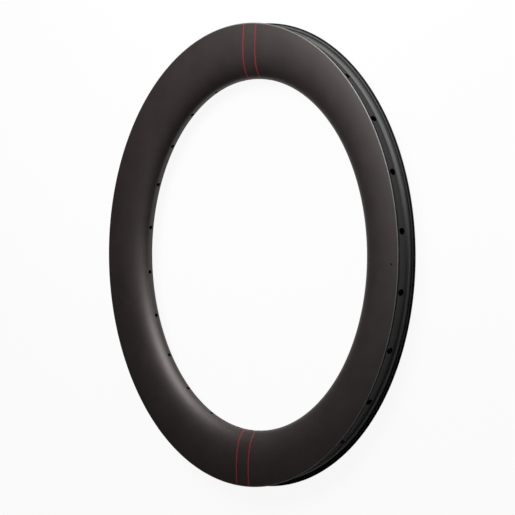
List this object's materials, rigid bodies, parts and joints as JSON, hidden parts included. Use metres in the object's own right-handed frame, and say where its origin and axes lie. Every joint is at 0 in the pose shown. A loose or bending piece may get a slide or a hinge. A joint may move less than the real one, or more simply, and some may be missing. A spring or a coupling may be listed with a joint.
{
  "type": "bicycle rim",
  "caption": "Deep hollow aero bicycle rim with a drop-centre tyre bed, hooked flanges, rounded nose, spoke holes, access holes and a valve hole.",
  "frame": {"origin": "centre of the wheel, midway between the two sides", "axes": "+Z along the wheel's axle towards the face seen in the picture, +Y towards the stripes at the top of the picture, -Y towards the valve hole"},
  "size_m": [0.6329, 0.633, 0.0336],
  "materials": {
    "carbon": "satin carbon laminate"
  },
  "bodies": {
    "root": {"rim": "carbon"}
  },
  "joints": []
}
